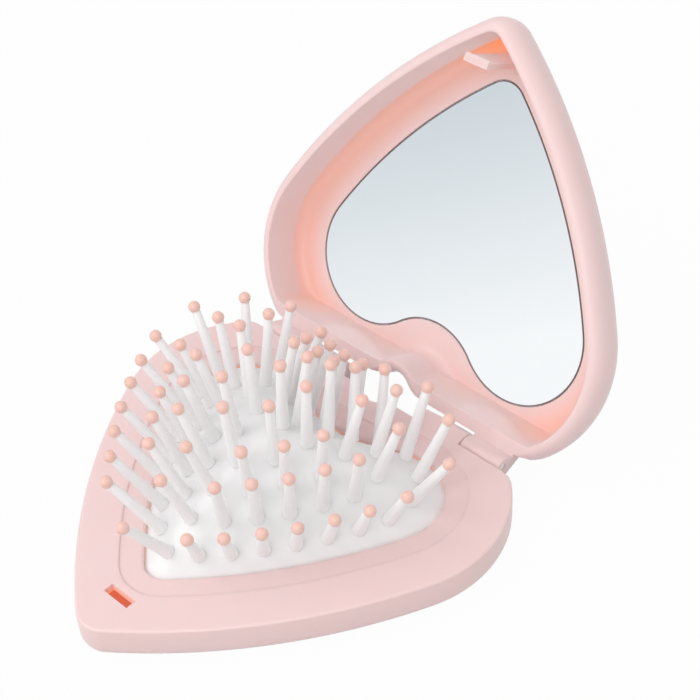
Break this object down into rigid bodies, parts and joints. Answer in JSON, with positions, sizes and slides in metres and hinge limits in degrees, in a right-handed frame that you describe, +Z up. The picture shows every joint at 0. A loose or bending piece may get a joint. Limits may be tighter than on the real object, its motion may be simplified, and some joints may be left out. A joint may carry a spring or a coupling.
{
  "type": "folding hairbrush with mirror",
  "caption": "Heart-shaped folding compact: a hairbrush with ball-tipped pins on a domed cushion in the base, and a mirror in the hinged lid.",
  "frame": {"origin": "on the flat underside, midway between the lobes, on the line of the lobe centres", "axes": "+Z up, +X along the hinge, -Y towards the point of the heart"},
  "size_m": [0.0858, 0.1221, 0.0741],
  "materials": {
    "pink_shell": "glossy moulded plastic, pale pink",
    "white_frame": "satin moulded plastic, white",
    "white_rubber": "smooth soft rubber, white",
    "hinge_steel": "drawn steel wire",
    "mirror": "polished silvered mirror",
    "adhesive": "thin adhesive film",
    "pin_white": "smooth moulded plastic, white",
    "ball_pink": "smooth dipped beads, pink"
  },
  "bodies": {
    "base": {"base_shell": "pink_shell", "bottom_cover": "pink_shell", "pad_frame": "white_frame", "cushion_pad": "white_rubber", "hinge_pin_left": "hinge_steel", "hinge_pin_right": "hinge_steel"},
    "lid": {"lid_shell": "pink_shell", "mirror_glass": "mirror", "mirror_adhesive": "adhesive"},
    "outer_tip": {"pins_tip": "pin_white", "balls_tip": "ball_pink"},
    "outer_right_side": {"pins_right_side": "pin_white", "balls_right_side": "ball_pink"},
    "outer_right_lobe_outer": {"pins_right_lobe_outer": "pin_white", "balls_right_lobe_outer": "ball_pink"},
    "outer_right_lobe_inner": {"pins_right_lobe_inner": "pin_white", "balls_right_lobe_inner": "ball_pink"},
    "outer_notch": {"pins_notch": "pin_white", "balls_notch": "ball_pink"},
    "outer_left_lobe_inner": {"pins_left_lobe_inner": "pin_white", "balls_left_lobe_inner": "ball_pink"},
    "outer_left_lobe_outer": {"pins_left_lobe_outer": "pin_white", "balls_left_lobe_outer": "ball_pink"},
    "outer_left_side": {"pins_left_side": "pin_white", "balls_left_side": "ball_pink"},
    "second_ring": {"pins_second_ring": "pin_white", "balls_second_ring": "ball_pink"},
    "third_ring": {"pins_third_ring": "pin_white", "balls_third_ring": "ball_pink"},
    "middle_cluster": {"pins_middle": "pin_white", "balls_middle": "ball_pink"}
  },
  "joints": [
    {"name": "lid_hinge", "type": "hinge", "parent": "base", "child": "lid", "pos_m": [0, 0.0205, 0.0061], "axis": [1, 0, 0], "range_deg": [0, 116], "deforming": ["cushion_pad"]},
    {"name": "outer_tip_sink", "type": "slide", "parent": "base", "child": "outer_tip", "axis": [0, 0.2578, -0.9662], "range_m": [0, 0.00621]},
    {"name": "outer_right_side_sink", "type": "slide", "parent": "base", "child": "outer_right_side", "axis": [-0.1364, 0.0971, -0.9859], "range_m": [0, 0.00598]},
    {"name": "outer_right_lobe_outer_sink", "type": "slide", "parent": "base", "child": "outer_right_lobe_outer", "axis": [-0.2567, 0.012, -0.9664], "range_m": [0, 0.00623]},
    {"name": "outer_right_lobe_inner_sink", "type": "slide", "parent": "base", "child": "outer_right_lobe_inner", "axis": [-0.0439, -0.3487, -0.9362], "range_m": [0, 0.0074]},
    {"name": "outer_notch_sink", "type": "slide", "parent": "base", "child": "outer_notch", "axis": [0, -0.3505, -0.9366], "range_m": [0, 0.00714]},
    {"name": "outer_left_lobe_inner_sink", "type": "slide", "parent": "base", "child": "outer_left_lobe_inner", "axis": [0.0439, -0.3487, -0.9362], "range_m": [0, 0.0074]},
    {"name": "outer_left_lobe_outer_sink", "type": "slide", "parent": "base", "child": "outer_left_lobe_outer", "axis": [0.2567, 0.012, -0.9664], "range_m": [0, 0.00623]},
    {"name": "outer_left_side_sink", "type": "slide", "parent": "base", "child": "outer_left_side", "axis": [0.1364, 0.0971, -0.9859], "range_m": [0, 0.00598]},
    {"name": "second_ring_sink", "type": "slide", "parent": "base", "child": "second_ring", "axis": [0, 0, -1], "range_m": [0, 0.01022]},
    {"name": "third_ring_sink", "type": "slide", "parent": "base", "child": "third_ring", "axis": [0, 0, -1], "range_m": [0, 0.01319]},
    {"name": "middle_cluster_sink", "type": "slide", "parent": "base", "child": "middle_cluster", "axis": [0, 0, -1], "range_m": [0, 0.01589]}
  ],
  "couplings": [
    {"joint": "outer_tip_sink", "follows": "lid_hinge", "m_per_rad": 0.0030651},
    {"joint": "outer_right_side_sink", "follows": "lid_hinge", "m_per_rad": 0.0029503},
    {"joint": "outer_right_lobe_outer_sink", "follows": "lid_hinge", "m_per_rad": 0.003075},
    {"joint": "outer_right_lobe_inner_sink", "follows": "lid_hinge", "m_per_rad": 0.0036538},
    {"joint": "outer_notch_sink", "follows": "lid_hinge", "m_per_rad": 0.0035231},
    {"joint": "outer_left_lobe_inner_sink", "follows": "lid_hinge", "m_per_rad": 0.0036538},
    {"joint": "outer_left_lobe_outer_sink", "follows": "lid_hinge", "m_per_rad": 0.003075},
    {"joint": "outer_left_side_sink", "follows": "lid_hinge", "m_per_rad": 0.0029503},
    {"joint": "second_ring_sink", "follows": "lid_hinge", "m_per_rad": 0.0050444},
    {"joint": "third_ring_sink", "follows": "lid_hinge", "m_per_rad": 0.0065115},
    {"joint": "middle_cluster_sink", "follows": "lid_hinge", "m_per_rad": 0.0078452}
  ]
}
